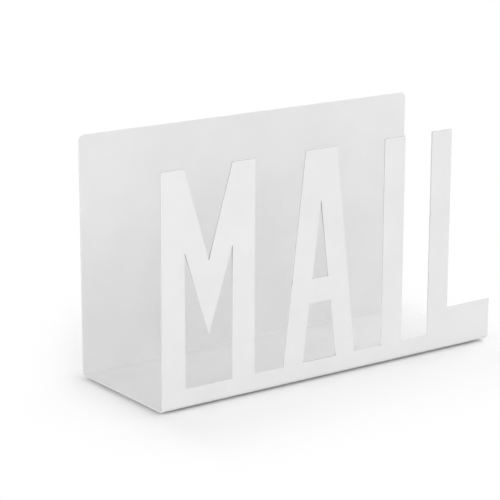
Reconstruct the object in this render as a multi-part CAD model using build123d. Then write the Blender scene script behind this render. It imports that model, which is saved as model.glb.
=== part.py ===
from build123d import *
import os

# Desk tray for letters: one steel sheet, cut and folded twice into a U, on four stick-on pads.
# Millimetres. X runs along the width, the front faces -Y, Z is up.
# The origin is under the middle of the tray, on the surface it stands on.

# Folded sheet, heights measured from the underside of the base
tray_width = 254.0
tray_depth = 88.5
back_height = 150.0
front_height = 143.2
lip_height = 12.0
sheet_thickness = 1.0
bend_radius = 2.0
back_corner_radius = 4.0

# Front uprights: plain block capitals that spell what the tray holds, standing on the lip
stem_width = 16.2
bar_height = 15.4
m_width = 66.0
m_notch_depth = 56.0
m_slot_drop = 49.5
m_point_rise = 30.0
a_foot_width = 54.6
a_top_width = 23.5
a_opening_width = 25.4
a_peak_drop = 31.7
a_bar_rise = 36.4
l_width = 52.2

# Stick-on pads
pad_diameter = 10.0
pad_thickness = 1.5
pad_edge_radius = 0.5
pad_end_inset = 16.0
pad_side_inset = 14.0

# How far a cut runs past the material it removes
overrun = 5.0

letter_height = front_height - lip_height


def letter_m():
    """M: two stems and a deep V between them, clear of the lip."""
    middle = m_width / 2
    right_stem = m_width - stem_width
    return Polygon(
        (0, 0),
        (stem_width, 0),
        (stem_width, letter_height - m_slot_drop),
        (middle, m_point_rise),
        (right_stem, letter_height - m_slot_drop),
        (right_stem, 0),
        (m_width, 0),
        (m_width, letter_height),
        (right_stem, letter_height),
        (middle, letter_height - m_notch_depth),
        (stem_width, letter_height),
        (0, letter_height),
    )


def letter_a():
    """A: flat-topped wedge with a tapering opening, closed part way up by the bar."""
    middle = a_foot_width / 2
    wedge = Polygon(
        (0, 0),
        (a_foot_width, 0),
        (middle + a_top_width / 2, letter_height),
        (middle - a_top_width / 2, letter_height),
    )
    opening = Polygon(
        (middle - a_opening_width / 2, 0),
        (middle + a_opening_width / 2, 0),
        (middle, letter_height - a_peak_drop),
    )
    bar = Pos(middle, a_bar_rise + bar_height / 2) * Rectangle(a_foot_width, bar_height)
    return wedge - (opening - bar)


def letter_i():
    """I: one plain stem."""
    return Rectangle(stem_width, letter_height, align=Align.MIN)


def letter_l():
    """L: a stem and a foot that reaches the right-hand end of the tray."""
    return Polygon(
        (0, 0),
        (l_width, 0),
        (l_width, bar_height),
        (stem_width, bar_height),
        (stem_width, letter_height),
        (0, letter_height),
    )


def front_letters():
    """All four uprights, spread over the width with equal gaps."""
    letters = [letter_m(), letter_a(), letter_i(), letter_l()]
    widths = [m_width, a_foot_width, stem_width, l_width]
    gap = (tray_width - sum(widths)) / (len(widths) - 1)
    placed = []
    left = -tray_width / 2
    for letter, width in zip(letters, widths):
        placed.append(Pos(left, lip_height) * letter)
        left += width + gap
    return placed


def folded_profile():
    """End view of the fold: the sheet's outside and inside lines, joined over both top edges."""
    outer_half = tray_depth / 2
    inner_half = outer_half - sheet_thickness
    outside = FilletPolyline(
        (-outer_half, front_height),
        (-outer_half, 0),
        (outer_half, 0),
        (outer_half, back_height),
        radius=bend_radius + sheet_thickness,
    )
    inside = FilletPolyline(
        (-inner_half, front_height),
        (-inner_half, sheet_thickness),
        (inner_half, sheet_thickness),
        (inner_half, back_height),
        radius=bend_radius,
    )
    front_edge = Line(outside @ 0, inside @ 0)
    back_edge = Line(outside @ 1, inside @ 1)
    return make_face(outside + inside + front_edge + back_edge)


def folded_tray():
    """The sheet: folded profile along the width, front wall cut down to the uprights."""
    sheet = extrude(Plane.YZ * folded_profile(), tray_width / 2, both=True)

    # Everything above the lip that isn't an upright comes out of the front wall
    waste_width = tray_width + 2 * overrun
    waste_height = letter_height + overrun
    waste = Pos(0, lip_height) * Rectangle(waste_width, waste_height, align=(Align.CENTER, Align.MIN))
    for letter in front_letters():
        waste -= letter
    front_plane = Plane.XZ.offset(tray_depth / 2)
    sheet -= extrude(front_plane * waste, sheet_thickness + overrun, both=True)

    # Rounded top corners of the back panel: the highest edges that cross it
    across_back = sheet.edges().filter_by(Axis.Y).filter_by_position(Axis.Y, 0, tray_depth / 2)
    sheet = fillet(across_back.group_by(Axis.Z)[-1], back_corner_radius)
    return Pos(0, 0, pad_thickness) * sheet


def foot_pad(x, y):
    """One round pad, its lower rim softened, stuck to the underside of the base."""
    pad = Cylinder(pad_diameter / 2, pad_thickness, align=(Align.CENTER, Align.CENTER, Align.MIN))
    pad = fillet(pad.edges().group_by(Axis.Z)[0], pad_edge_radius)
    return Pos(x, y) * pad


pad_x = tray_width / 2 - pad_end_inset
pad_y = tray_depth / 2 - pad_side_inset

parts = {
    "folded_tray": folded_tray(),
    "foot_pad_front_left": foot_pad(-pad_x, -pad_y),
    "foot_pad_front_right": foot_pad(pad_x, -pad_y),
    "foot_pad_rear_left": foot_pad(-pad_x, pad_y),
    "foot_pad_rear_right": foot_pad(pad_x, pad_y),
}

os.makedirs("parts", exist_ok=True)
for name, shape in parts.items():
    export_step(shape, f"parts/{name}.step")
    print(name, round(shape.volume, 1), shape.bounding_box().size)
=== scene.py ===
import math

import bmesh
import bpy
from mathutils import Matrix, Vector
from mathutils.geometry import intersect_line_line_2d


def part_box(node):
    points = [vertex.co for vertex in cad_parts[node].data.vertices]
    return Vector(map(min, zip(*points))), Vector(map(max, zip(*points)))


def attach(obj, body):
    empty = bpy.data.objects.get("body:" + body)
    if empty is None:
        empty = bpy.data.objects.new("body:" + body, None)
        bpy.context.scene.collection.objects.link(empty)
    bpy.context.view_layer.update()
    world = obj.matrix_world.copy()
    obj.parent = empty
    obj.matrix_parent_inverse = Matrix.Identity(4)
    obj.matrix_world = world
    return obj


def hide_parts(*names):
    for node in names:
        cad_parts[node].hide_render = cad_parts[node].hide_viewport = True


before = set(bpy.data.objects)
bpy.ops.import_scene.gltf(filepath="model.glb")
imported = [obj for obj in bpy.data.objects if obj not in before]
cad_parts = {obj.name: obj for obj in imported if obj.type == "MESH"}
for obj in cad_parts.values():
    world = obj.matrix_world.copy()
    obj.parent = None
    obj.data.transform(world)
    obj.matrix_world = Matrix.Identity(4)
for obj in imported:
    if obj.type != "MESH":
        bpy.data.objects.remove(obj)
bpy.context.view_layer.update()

# Letter tray: one white powder-coated sheet, cut flat, folded into a U, standing on four soft pads.
# Metres. The front faces -Y, X runs along the width, Z is up.

mm = 0.001
scene = bpy.context.scene


# Node trees

class Wire:                                    # an output socket that can stand in a sum
    def __init__(self, board, socket):
        self.board = board
        self.socket = socket

    def also(self, name):                      # another output of the same node
        return Wire(self.board, self.socket.node.outputs[name])

    def calc(self, operation, *others):
        values = dict(enumerate((self,) + others))
        return self.board.node("ShaderNodeMath", {"operation": operation}, values)

    def before(self, operation, first):
        return self.board.node("ShaderNodeMath", {"operation": operation}, {0: first, 1: self})

    def __add__(self, other):
        return self.calc("ADD", other)

    def __radd__(self, other):
        return self.before("ADD", other)

    def __sub__(self, other):
        return self.calc("SUBTRACT", other)

    def __rsub__(self, other):
        return self.before("SUBTRACT", other)

    def __mul__(self, other):
        return self.calc("MULTIPLY", other)

    def __rmul__(self, other):
        return self.before("MULTIPLY", other)

    def __truediv__(self, other):
        return self.calc("DIVIDE", other)

    def __rtruediv__(self, other):
        return self.before("DIVIDE", other)


class Board:                                   # a node tree, and the one way to put nodes on it
    def __init__(self, tree):
        self.tree = tree
        tree.nodes.clear()

    def node(self, kind, settings=None, sockets=None):
        made = self.tree.nodes.new(kind)
        for name, value in (settings or {}).items():
            setattr(made, name, value)
        for name, value in (sockets or {}).items():
            if isinstance(value, Wire):
                self.tree.links.new(value.socket, made.inputs[name])
            else:
                made.inputs[name].default_value = value
        return Wire(self, made.outputs[0]) if made.outputs else made

    def mix(self, share, first, second):       # two colours, by the node's colour sockets
        sockets = {0: share, 6: first, 7: second}
        return self.node("ShaderNodeMix", {"data_type": "RGBA"}, sockets).also(2)

    def noise(self, place, size, detail=2.0, rough=0.5):
        sockets = {"Vector": place, "Scale": 1 / size, "Detail": detail, "Roughness": rough}
        return self.node("ShaderNodeTexNoise", None, sockets)

    def bump(self, height):                    # height in metres
        return self.node("ShaderNodeBump", None, {"Height": height / mm, "Distance": mm})


def newMaterial(name):
    material = bpy.data.materials.new(name)
    material.use_nodes = True
    return material, Board(material.node_tree)


def newGeometryTree(name, inputs):
    tree = bpy.data.node_groups.new(name, "GeometryNodeTree")
    tree.interface.new_socket("Geometry", in_out="INPUT", socket_type="NodeSocketGeometry")
    for label, kind in inputs.items():
        tree.interface.new_socket(label, in_out="INPUT", socket_type=kind)
    tree.interface.new_socket("Geometry", in_out="OUTPUT", socket_type="NodeSocketGeometry")
    return tree, Board(tree)


def addTree(piece, tree, values):
    modifier = piece.modifiers.new(tree.name, "NODES")
    modifier.node_group = tree
    for item in tree.interface.items_tree:
        if item.in_out == "INPUT" and item.name in values:
            modifier[item.identifier] = values[item.name]


def newPiece(name, mesh):
    piece = bpy.data.objects.new(name, mesh)
    scene.collection.objects.link(piece)
    return piece


def makePlain(piece):                          # modifiers worked into a plain mesh
    graph = bpy.context.evaluated_depsgraph_get()
    done = bpy.data.meshes.new_from_object(piece.evaluated_get(graph), depsgraph=graph)
    piece.modifiers.clear()
    piece.data = done
    print(piece.name, len(done.vertices), "vertices,", len(done.polygons), "faces")


# Finishes

noiseMiddle = 0.5                              # a noise swings about this

powderCoat = {
    "white": (0.867, 0.867, 0.865, 1.0),
    "pale": (0.780, 0.781, 0.781, 1.0),        # drifts in the baked coat
    "darkTone": (0.42, 0.425, 0.43, 1.0),          # dark tone for the cut edges and the painted shade
    "cloudSize": 38 * mm,
    "cloudDetail": 3.0,
    "cloudBreak": 0.65,                        # how much the smaller clouds show
    "peelSize": 1.5 * mm,                      # orange peel of the baked powder
    "peelDetail": 1.5,
    "peelHeight": 0.022 * mm,
    "grainSize": 0.35 * mm,
    "grainDetail": 1.0,
    "grainHeight": 0.003 * mm,
    "waveSize": 70 * mm,                       # the sheet is never quite flat
    "waveDetail": 0.5,
    "waveHeight": 0.12 * mm,
    "roughness": 0.3,
    "roughnessSpread": 0.08,
    "ior": 1.5,
}


def powderCoatMaterial():
    look = powderCoat
    material, board = newMaterial("whitePowderCoat")
    place = board.node("ShaderNodeTexCoord").also("Object")
    cloud = board.noise(place, look["cloudSize"], look["cloudDetail"], look["cloudBreak"])
    peel = board.noise(place, look["peelSize"], look["peelDetail"])
    grain = board.noise(place, look["grainSize"], look["grainDetail"])
    wave = board.noise(place, look["waveSize"], look["waveDetail"])
    height = peel * look["peelHeight"] + grain * look["grainHeight"] + wave * look["waveHeight"]

    # the darker cut edges, and painted shade in the folds, in narrow notches and high on the letters
    edgesAndShade = board.node("ShaderNodeAttribute", {"attribute_name": "darkEdgesAndShade"}).also("Fac")
    coat = board.mix(cloud, look["pale"], look["white"])
    shader = board.node("ShaderNodeBsdfPrincipled", None, {
        "Base Color": board.mix(edgesAndShade, coat, look["darkTone"]),
        "Roughness": look["roughness"] + (cloud - noiseMiddle) * look["roughnessSpread"],
        "IOR": look["ior"],
        "Normal": board.bump(height),
    })
    board.node("ShaderNodeOutputMaterial", None, {"Surface": shader})
    return material


padRubber = {
    "colour": (0.62, 0.63, 0.63, 1.0),
    "darker": (0.54, 0.55, 0.55, 1.0),           # dust held by the soft surface
    "dustSize": 2.2 * mm,
    "dustDetail": 3.0,
    "grainSize": 0.25 * mm,
    "grainHeight": 0.01 * mm,
    "roughness": 0.6,
    "roughnessSpread": 0.15,
}


def padRubberMaterial():
    look = padRubber
    material, board = newMaterial("softPadRubber")
    place = board.node("ShaderNodeTexCoord").also("Object")
    dust = board.noise(place, look["dustSize"], look["dustDetail"])
    grain = board.noise(place, look["grainSize"])
    shader = board.node("ShaderNodeBsdfPrincipled", None, {
        "Base Color": board.mix(dust, look["darker"], look["colour"]),
        "Roughness": look["roughness"] + (dust - noiseMiddle) * look["roughnessSpread"],
        "Normal": board.bump(grain * look["grainHeight"]),
    })
    board.node("ShaderNodeOutputMaterial", None, {"Surface": shader})
    return material


# The sheet: a flat blank, then folded

trayLow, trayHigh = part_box("folded_tray")

sheet = {
    "width": trayHigh.x - trayLow.x,
    "depth": trayHigh.y - trayLow.y,
    "backHeight": trayHigh.z - trayLow.z,
    "frontHeight": 143.2 * mm,
    "lipHeight": 12 * mm,
    "thickness": 1 * mm,
    "foldRadius": 3 * mm,                      # outside of the fold
    "foldSteps": 12,
    "cornerRadius": 4 * mm,
    "cornerSteps": 10,
    "edgeRound": 0.22 * mm,                    # sheared edges softened by the coat
    "edgeSteps": 3,
    "edgeAngle": 40,                           # degrees, sharper turns than this are softened
    "flatWeight": 100,                         # the flats keep their own shading beside the soft edges
    "mergeWithin": 0.01 * mm,
}

letters = {
    "stem": 16.2 * mm,
    "bar": 15.4 * mm,
    "mWidth": 66 * mm,
    "mNotch": 56 * mm,                         # depth of the V from the top
    "mSlot": 49.5 * mm,                        # top of the slots beside the V, from the top
    "mPoint": 30 * mm,                         # point of the V above the lip
    "aWidth": 54.6 * mm,
    "aTop": 23.5 * mm,
    "aOpening": 25.4 * mm,                     # between the feet
    "aPeak": 31.7 * mm,                        # peak of the opening, from the top
    "aBar": 36.4 * mm,                         # underside of the bar above the lip
    "lWidth": 52.2 * mm,
}

edgeShading = {                                   # how much darker the coat is drawn, 0 its own colour, 1 the dark tone; part of it painted shade
    "fold": 0.16,                              # painted shade inside the folds
    "open": 0.42,                              # on the letters' cut edges
    "facingUp": 0.43,                            # more on edges that face up
    "low": 0.25,                               # share of the edge darkening kept down at the lip; painted shade, darker higher up
    "notch": 0.73,                             # painted shade, more where a notch is narrow
    "notchWidth": 5 * mm,
    "step": 3 * mm,                            # between outline points, so that the darkening can change
    "lookAcross": 80 * mm,
    "ownEdge": 0.3 * mm,                       # an outline this near is the edge itself
    "parallel": 0.05,                          # if it runs along the edge as closely as this
    "flatFace": 0.9,                           # a face turned forward this much is no edge
}

letterHeight = sheet["frontHeight"] - sheet["lipHeight"]


# Each letter gives its faces as (x, height above the lip), none with a hole

def letterM(size, tall):
    stem, wide = size["stem"], size["mWidth"]
    middle, right = wide / 2, wide - stem
    slot = tall - size["mSlot"]
    return [[
        (0, 0), (stem, 0), (stem, slot), (middle, size["mPoint"]), (right, slot), (right, 0), (wide, 0),
        (wide, tall), (right, tall), (middle, tall - size["mNotch"]), (stem, tall), (0, tall),
    ]]


def letterA(size, tall):
    middle = size["aWidth"] / 2
    peak = tall - size["aPeak"]
    barLow, barHigh = size["aBar"], size["aBar"] + size["bar"]

    def outer(height):                         # half width of the wedge
        return middle + (size["aTop"] / 2 - middle) * height / tall

    def inner(height):                         # half width of the opening
        return size["aOpening"] / 2 * (1 - height / peak)

    def across(height, half):
        return (middle - half(height), height), (middle + half(height), height)

    footLeft, footRight = across(0, outer)
    gapLeft, gapRight = across(0, inner)
    underLeft, underRight = across(barLow, inner)
    overLeft, overRight = across(barHigh, inner)
    sideLeft, sideRight = across(barHigh, outer)
    topLeft, topRight = across(tall, outer)
    legs = [footLeft, gapLeft, underLeft, underRight, gapRight, footRight]
    legs += [sideRight, overRight, overLeft, sideLeft]
    peakPart = [sideLeft, overLeft, (middle, peak), overRight, sideRight, topRight, topLeft]
    return [legs, peakPart]


def letterI(size, tall):
    stem = size["stem"]
    return [[(0, 0), (stem, 0), (stem, tall), (0, tall)]]


def letterL(size, tall):
    stem, wide, bar = size["stem"], size["lWidth"], size["bar"]
    return [[(0, 0), (wide, 0), (wide, bar), (stem, bar), (stem, tall), (0, tall)]]


def loop(points):                              # each point with the next, round to the first
    return zip(points, points[1:] + points[:1])


def stepped(outline):                          # more points along each edge, none along the lip
    points = []
    for start, end in loop(outline):
        onLip = start[1] == 0 and end[1] == 0
        count = 1 if onLip else math.ceil(math.dist(start, end) / edgeShading["step"])
        for k in range(count):
            points.append(tuple(a + (b - a) * k / count for a, b in zip(start, end)))
    return points


def frontFaces():                              # letters side by side, and where their feet meet the lip
    shapes = [letterM, letterA, letterI, letterL]
    widths = [letters["mWidth"], letters["aWidth"], letters["stem"], letters["lWidth"]]
    gap = (sheet["width"] - sum(widths)) / (len(widths) - 1)
    faces, feet = [], []
    left = -sheet["width"] / 2
    for shape, wide in zip(shapes, widths):
        for face in shape(letters, letterHeight):
            faces.append([(left + x, height) for x, height in face])
        left += wide + gap
    for face in faces:
        feet += [x for x, height in face if height == 0]
    return faces, sorted(set(feet))


def roundedTop(half, height):                  # top edge of the back panel, from right to left
    radius, steps = sheet["cornerRadius"], sheet["cornerSteps"]
    points = []
    for side, start in ((1, 0), (-1, math.pi / 2)):
        for step in range(steps + 1):
            angle = start + math.pi / 2 * step / steps
            x = side * (half - radius) + radius * math.cos(angle)
            points.append((x, height - radius + radius * math.sin(angle)))
    return points


def flatBlank():                               # faces as (x, run), run 0 in the middle of the base
    half = sheet["width"] / 2
    radius = sheet["foldRadius"]
    flatHalf = sheet["depth"] / 2 - radius     # middle of the base to the start of a fold
    foldEnd = flatHalf + radius * math.pi / 2
    lipTop = foldEnd + sheet["lipHeight"] - radius
    backTop = foldEnd + sheet["backHeight"] - radius

    def strip(near, far):
        return [(-half, near), (half, near), (half, far), (-half, far)]

    steps = sheet["foldSteps"]
    runs = [flatHalf + (foldEnd - flatHalf) * k / steps for k in range(steps + 1)]
    faces = [strip(-flatHalf, flatHalf)]
    for side in (-1, 1):
        faces += [strip(side * near, side * far) for near, far in zip(runs, runs[1:])]
    faces.append([(-half, foldEnd), (half, foldEnd)] + roundedTop(half, backTop))

    letterFaces, feet = frontFaces()
    faces.append([(-half, -foldEnd), (half, -foldEnd)] + [(x, -lipTop) for x in reversed(feet)])
    for face in letterFaces:
        faces.append([(x, -lipTop - height) for x, height in stepped(face)])
    return faces


def signedArea(points):
    return sum(a[0] * b[1] - b[0] * a[1] for a, b in loop(points)) / 2


def blankMesh():
    build = bmesh.new()
    for points in flatBlank():
        if signedArea(points) > 0:             # clockwise from above: folded, the outside faces out
            points = points[::-1]
        build.faces.new([build.verts.new((x, run, 0)) for x, run in points])
    bmesh.ops.remove_doubles(build, verts=build.verts, dist=sheet["mergeWithin"])
    mesh = bpy.data.meshes.new("trayBlank")
    build.to_mesh(mesh)
    build.free()
    mesh.shade_smooth()
    return mesh


def foldTree():
    inputs = {
        "Flat Half": "NodeSocketFloat",
        "Fold Radius": "NodeSocketFloat",
        "Lift": "NodeSocketFloat",
        "Coat": "NodeSocketMaterial",
    }
    tree, board = newGeometryTree("foldSheet", inputs)
    given = board.node("NodeGroupInput")
    flatHalf, radius, lift, coat = (given.also(name) for name in inputs)

    place = board.node("ShaderNodeSeparateXYZ", None, {0: board.node("GeometryNodeInputPosition")})
    x, run = place.also("X"), place.also("Y")
    past = run.calc("ABSOLUTE") - flatHalf     # distance past the start of a fold
    turn = (past / radius).calc("MAXIMUM", 0.0).calc("MINIMUM", math.pi / 2)
    straight = (past - radius * (math.pi / 2)).calc("MAXIMUM", 0.0)
    out = run.calc("ABSOLUTE").calc("MINIMUM", flatHalf) + radius * turn.calc("SINE")
    up = lift + radius * (1 - turn.calc("COSINE")) + straight

    folded = board.node("ShaderNodeCombineXYZ", None, {"X": x, "Y": run.calc("SIGN") * out, "Z": up})
    moved = board.node("GeometryNodeSetPosition", None, {"Geometry": given, "Position": folded})
    whole = board.node("GeometryNodeRealizeInstances", None, {"Geometry": moved})
    coated = board.node("GeometryNodeSetMaterial", None, {"Geometry": whole, "Material": coat})
    board.node("NodeGroupOutput", None, {0: coated})
    return tree


def frontOutline(lipTop):                      # straight cuts of the front wall, as pairs of (x, z)
    letterFaces, feet = frontFaces()
    cuts = [(Vector((feet[0], lipTop)), Vector((feet[-1], lipTop)))]
    for face in letterFaces:
        cuts += loop([Vector((x, lipTop + height)) for x, height in face])
    return cuts


def gapAcross(spot, outward, cuts):            # from a cut edge to the next cut that faces it
    nearest = edgeShading["lookAcross"]
    far = spot + outward * nearest
    for start, end in cuts:
        along = (end - start).normalized()
        level = abs(along.dot(outward)) < edgeShading["parallel"]
        if level and abs((spot - start).dot(outward)) < edgeShading["ownEdge"]:
            continue
        hit = intersect_line_line_2d(spot, far, start, end)
        if hit:
            nearest = min(nearest, (hit - spot).length)
    return nearest


def cornerPlaces(mesh, face):                  # a face's corners, each with its point
    for corner in face.loop_indices:
        yield corner, mesh.vertices[mesh.loops[corner].vertex_index].co


def markFolds(mesh, edgesAndShade):                     # painted shade inside both folds, most in the middle of the turn
    axisOut = sheet["depth"] / 2 - sheet["foldRadius"]
    axisUp = trayLow.z + sheet["foldRadius"]
    inside = sheet["foldRadius"] - sheet["thickness"] + sheet["edgeRound"]
    for face in mesh.polygons:
        reach = math.hypot(abs(face.center.y) - axisOut, axisUp - face.center.z)
        inFold = abs(face.center.y) > axisOut and face.center.z < axisUp
        if not inFold or reach > inside:
            continue
        for corner, place in cornerPlaces(mesh, face):
            turn = math.atan2(abs(place.y) - axisOut, axisUp - place.z)
            edgesAndShade.data[corner].value = edgeShading["fold"] * math.sqrt(max(0.0, math.sin(2 * turn)))


def markEdges(mesh, edgesAndShade):                     # darker cut edges on the front wall, with painted shade in narrow notches and higher up
    lipTop = trayLow.z + sheet["lipHeight"]
    inside = trayLow.y + sheet["thickness"]
    cuts = frontOutline(lipTop)
    for face in mesh.polygons:
        onFront = face.center.y < inside and face.center.z > lipTop - sheet["edgeRound"]
        if not onFront or abs(face.normal.y) > edgeShading["flatFace"]:
            continue
        outward = Vector((face.normal.x, face.normal.z)).normalized()
        darker = edgeShading["open"] + edgeShading["facingUp"] * max(0.0, outward.y)
        for corner, place in cornerPlaces(mesh, face):
            gap = gapAcross(Vector((place.x, place.z)), outward, cuts)
            # painted shade: darker where the cut across the notch is near
            narrow = edgeShading["notch"] * math.exp(-gap / edgeShading["notchWidth"])
            # painted shade: the edge darkening grows with height above the lip
            high = (place.z - lipTop) / letterHeight
            reach = edgeShading["low"] + (1 - edgeShading["low"]) * min(1.0, max(0.0, high))
            edgesAndShade.data[corner].value = min(1.0, darker * reach + narrow)


def makeTray():
    piece = newPiece("foldedTray", blankMesh())
    addTree(piece, foldTree(), {
        "Flat Half": sheet["depth"] / 2 - sheet["foldRadius"],
        "Fold Radius": sheet["foldRadius"],
        "Lift": trayLow.z,
        "Coat": powderCoatMaterial(),
    })
    wall = piece.modifiers.new("wall", "SOLIDIFY")
    wall.thickness = sheet["thickness"]
    wall.offset = -1
    wall.use_even_offset = True
    soft = piece.modifiers.new("edges", "BEVEL")
    soft.width = sheet["edgeRound"]
    soft.segments = sheet["edgeSteps"]
    soft.limit_method = "ANGLE"
    soft.angle_limit = math.radians(sheet["edgeAngle"])
    soft.miter_outer = "MITER_ARC"
    even = piece.modifiers.new("shading", "WEIGHTED_NORMAL")
    even.keep_sharp = False
    even.weight = sheet["flatWeight"]
    makePlain(piece)
    # darker cut edges, and painted shade in the folds and notches
    edgesAndShade = piece.data.attributes.new("darkEdgesAndShade", "FLOAT", "CORNER")   # read by the finish
    markFolds(piece.data, edgesAndShade)
    markEdges(piece.data, edgesAndShade)
    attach(piece, "root")
    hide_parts("folded_tray")


makeTray()


# Pads: one moulded shape, set under each corner of the base

padNodes = sorted(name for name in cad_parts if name.startswith("foot_pad"))
padLow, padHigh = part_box(padNodes[0])

pad = {
    "radius": (padHigh.x - padLow.x) / 2,
    "height": padHigh.z - padLow.z,
    "rimRound": 0.5 * mm,
    "rimSteps": 6,
    "filmHeight": 0.2 * mm,                    # sticky film between pad and base
    "filmInset": 0.15 * mm,
    "hollow": 0.08 * mm,                       # the underside dips a little in the middle
    "hollowFlat": 0.5,                         # flat so far out, as a share of the radius
    "hollowEnd": 0.62,                         # and down on the desk from here
    "sides": 48,
    "mergeWithin": 0.002 * mm,
}


def padProfile():
    radius, rim = pad["radius"], pad["rimRound"]
    height, hollow = pad["height"], pad["hollow"]
    filmFoot = height - pad["filmHeight"]
    filmRadius = radius - pad["filmInset"]
    points = [(0, hollow), (radius * pad["hollowFlat"], hollow), (radius * pad["hollowEnd"], 0)]
    for step in range(pad["rimSteps"] + 1):
        angle = math.pi / 2 * step / pad["rimSteps"]
        points.append((radius - rim + rim * math.sin(angle), rim - rim * math.cos(angle)))
    points += [(radius, filmFoot), (filmRadius, filmFoot), (filmRadius, height), (0, height)]
    return points


def padMesh():
    build = bmesh.new()
    line = [build.verts.new((r, 0, z)) for r, z in padProfile()]
    for a, b in zip(line, line[1:]):
        build.edges.new((a, b))
    bmesh.ops.spin(build, geom=build.verts[:] + build.edges[:], cent=(0, 0, 0), axis=(0, 0, 1),
                   angle=math.tau, steps=pad["sides"])
    bmesh.ops.remove_doubles(build, verts=build.verts, dist=pad["mergeWithin"])
    bmesh.ops.recalc_face_normals(build, faces=build.faces)
    mesh = bpy.data.meshes.new("padShape")
    build.to_mesh(mesh)
    build.free()
    mesh.shade_smooth()
    return mesh


def padTree():
    inputs = {"Pad Shape": "NodeSocketObject", "Rubber": "NodeSocketMaterial"}
    tree, board = newGeometryTree("setPads", inputs)
    given = board.node("NodeGroupInput")
    chosen, rubber = (given.also(name) for name in inputs)
    shape = board.node("GeometryNodeObjectInfo", None, {"Object": chosen}).also("Geometry")
    places = board.node("GeometryNodeMeshToPoints", None, {"Mesh": given})
    placed = board.node("GeometryNodeInstanceOnPoints", None, {"Points": places, "Instance": shape})
    whole = board.node("GeometryNodeRealizeInstances", None, {"Geometry": placed})
    coated = board.node("GeometryNodeSetMaterial", None, {"Geometry": whole, "Material": rubber})
    board.node("NodeGroupOutput", None, {0: coated})
    return tree


def makePads():
    shape = newPiece("padShape", padMesh())
    places = bpy.data.meshes.new("padPlaces")
    middles = [(low + high) / 2 for low, high in map(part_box, padNodes)]
    places.from_pydata([(middle.x, middle.y, padLow.z) for middle in middles], [], [])
    piece = newPiece("footPads", places)
    addTree(piece, padTree(), {"Pad Shape": shape, "Rubber": padRubberMaterial()})
    makePlain(piece)
    bpy.data.objects.remove(shape)
    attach(piece, "root")
    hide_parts(*padNodes)


makePads()


# Floor, light and camera

studio = {
    "floorSize": 14.0,
    "floorColour": (0.88, 0.88, 0.88, 1.0),
    "floorSeen": (0.97, 0.97, 0.97, 1.0),      # the camera sees it a little paler, shadow kept
    "white": (1.0, 1.0, 1.0, 1.0),
    "sky": 0.35,
}

floorFade = {                                  # how the shadow pales to white, away from the tray
    "length": 24 * mm,
    "before": 0.105,                           # so many times sooner on each side
    "behind": 1.4,
    "right": 1.5,
    "left": 1.15,
    "corner": 1.0,                             # and sooner still beside the left rear corner
    "cornerPower": 4.0,
    "behindMost": 19 * mm,                     # behind the tray it stops paling here
    "behindFar": 0.6,                          # reaches further back before it ends
    "slant": 0.59,                             # and leans to the right as it goes
    "far": 71 * mm,                            # past this no shadow is left
    "farPower": 3.0,
}

# Soft boxes round the tray, in degrees, metres and watts. The two that aren't mirrored would show in
# the base, seen from the far end, and clip it to white.
lampTarget = Vector((0, 0, 60)) * mm
lamps = {
    "front": dict(azimuth=0, elevation=28, distance=1.8, wide=1.2, high=0.9, power=3.4),
    "frontRight": dict(azimuth=36, elevation=30, distance=1.8, wide=1.2, high=0.9, power=4.2),
    "right": dict(azimuth=85, elevation=25, distance=1.8, wide=2.2, high=1.5, power=23.0, mirrored=False),
    "backRight": dict(azimuth=130, elevation=30, distance=1.4, wide=1.0, high=1.0, power=2.0),
    "back": dict(azimuth=180, elevation=15, distance=1.8, wide=1.6, high=0.9, power=8.0),
    "left": dict(azimuth=-80, elevation=25, distance=1.8, wide=1.2, high=0.9, power=8.9, mirrored=False),
    "frontLeftLow": dict(azimuth=-50, elevation=8, distance=0.7, wide=0.5, high=0.2, power=0.7),
}

cameraSettings = {
    "target": Vector((-10.9, 29.5, 66.4)) * mm,
    "azimuth": -36.12,
    "elevation": 14.69,
    "distance": 1262.8 * mm,
    "roll": 0.16,
    "lens": 143.67,
    "sensor": 36.0,
}


def offsetFrom(settings):                      # azimuth 0 stands in front, negative to the left
    around, above = math.radians(settings["azimuth"]), math.radians(settings["elevation"])
    level = math.cos(above)
    aim = Vector((math.sin(around) * level, -math.cos(around) * level, math.sin(above)))
    return settings["distance"] * aim


def seenDirectly(board):                       # 1 for camera, mirror and glass rays
    path = board.node("ShaderNodeLightPath")
    total = path.also("Is Camera Ray") + path.also("Is Glossy Ray") + path.also("Is Transmission Ray")
    return total.calc("MINIMUM", 1.0)


def fadeOver(board):                           # 0 under the tray, 1 where the floor is plain white
    place = board.node("ShaderNodeTexCoord").also("Object")
    spot = board.node("ShaderNodeSeparateXYZ", None, {0: place})
    x, y = spot.also("X"), spot.also("Y")
    wide, deep = sheet["width"], sheet["depth"]

    def past(run, size):                       # how far beyond the tray's edge
        return (run - size / 2).calc("MAXIMUM", 0.0)

    def length(a, b):
        return (a * a + b * b).calc("SQRT")

    before, behind = past(-1 * y, deep), past(y, deep)
    right, left = past(x, wide), past(behind * floorFade["slant"] - x, wide)
    rearward = (y / deep + 0.5).calc("MAXIMUM", 0.0).calc("MINIMUM", 1.0)
    leftPace = floorFade["left"] + floorFade["corner"] * rearward.calc("POWER", floorFade["cornerPower"])
    beside = right * floorFade["right"] + left * leftPace
    paled = (behind * floorFade["behind"]).calc("MINIMUM", floorFade["behindMost"])
    clear = length(beside, before * floorFade["before"] + paled)
    away = length(right + left, before + behind * floorFade["behindFar"])
    far = (away / floorFade["far"]).calc("POWER", floorFade["farPower"])
    return 1 - (clear / -floorFade["length"] - far).calc("EXPONENT")


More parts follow.
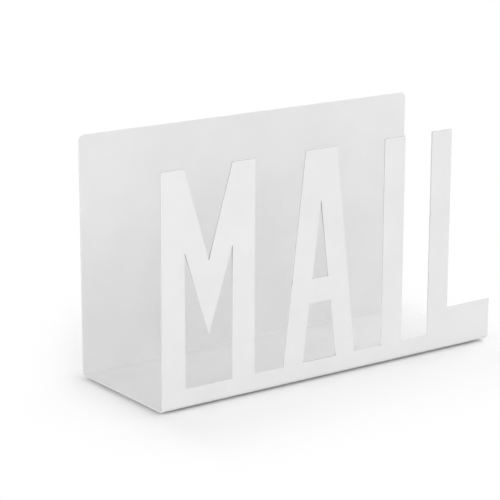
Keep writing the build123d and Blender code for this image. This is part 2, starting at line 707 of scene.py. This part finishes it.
def floorMaterial():
    material, board = newMaterial("floorPaper")
    plain = board.node("ShaderNodeBsdfDiffuse", None, {"Color": studio["floorColour"]})
    shaded = board.node("ShaderNodeBsdfDiffuse", None, {"Color": studio["floorSeen"]})
    white = board.node("ShaderNodeEmission", None, {"Color": studio["white"], "Strength": 1.0})
    seen = board.node("ShaderNodeMixShader", None, {0: fadeOver(board), 1: shaded, 2: white})
    mixed = board.node("ShaderNodeMixShader", None, {0: seenDirectly(board), 1: plain, 2: seen})
    board.node("ShaderNodeOutputMaterial", None, {"Surface": mixed})
    return material


def makeFloor():
    half = studio["floorSize"] / 2
    mesh = bpy.data.meshes.new("floor")
    corners = [(-half, -half, 0), (half, -half, 0), (half, half, 0), (-half, half, 0)]
    mesh.from_pydata(corners, [], [(0, 1, 2, 3)])
    mesh.materials.append(floorMaterial())
    floor = newPiece("floor", mesh)


def makeWorld():
    world = bpy.data.worlds.new("studio")
    world.use_nodes = True
    board = Board(world.node_tree)
    strength = studio["sky"] + (1 - studio["sky"]) * seenDirectly(board)
    light = board.node("ShaderNodeBackground", None, {"Color": studio["white"], "Strength": strength})
    board.node("ShaderNodeOutputWorld", None, {"Surface": light})
    scene.world = world


def makeLamps():
    for name, values in lamps.items():
        light = bpy.data.lights.new(name, "AREA")
        light.shape = "RECTANGLE"
        light.size = values["wide"]
        light.size_y = values["high"]
        light.energy = values["power"]
        lamp = bpy.data.objects.new(name, light)
        lamp.location = lampTarget + offsetFrom(values)
        lamp.rotation_euler = (lampTarget - lamp.location).to_track_quat("-Z", "Y").to_euler()
        lamp.visible_camera = False
        lamp.visible_glossy = values.get("mirrored", True)
        scene.collection.objects.link(lamp)


def makeCamera():
    data = bpy.data.cameras.new("camera")
    data.lens = cameraSettings["lens"]
    data.sensor_width = cameraSettings["sensor"]
    data.sensor_fit = "HORIZONTAL"
    camera = bpy.data.objects.new("camera", data)
    away = offsetFrom(cameraSettings)
    camera.location = cameraSettings["target"] + away
    facing = (-away).to_track_quat("-Z", "Y").to_matrix().to_4x4()
    turned = facing @ Matrix.Rotation(math.radians(cameraSettings["roll"]), 4, "Z")
    camera.rotation_euler = turned.to_euler()
    scene.collection.objects.link(camera)
    scene.camera = camera


makeFloor()
makeWorld()
makeLamps()
makeCamera()
scene.view_settings.view_transform = "Standard"
print("floor, light and camera set")
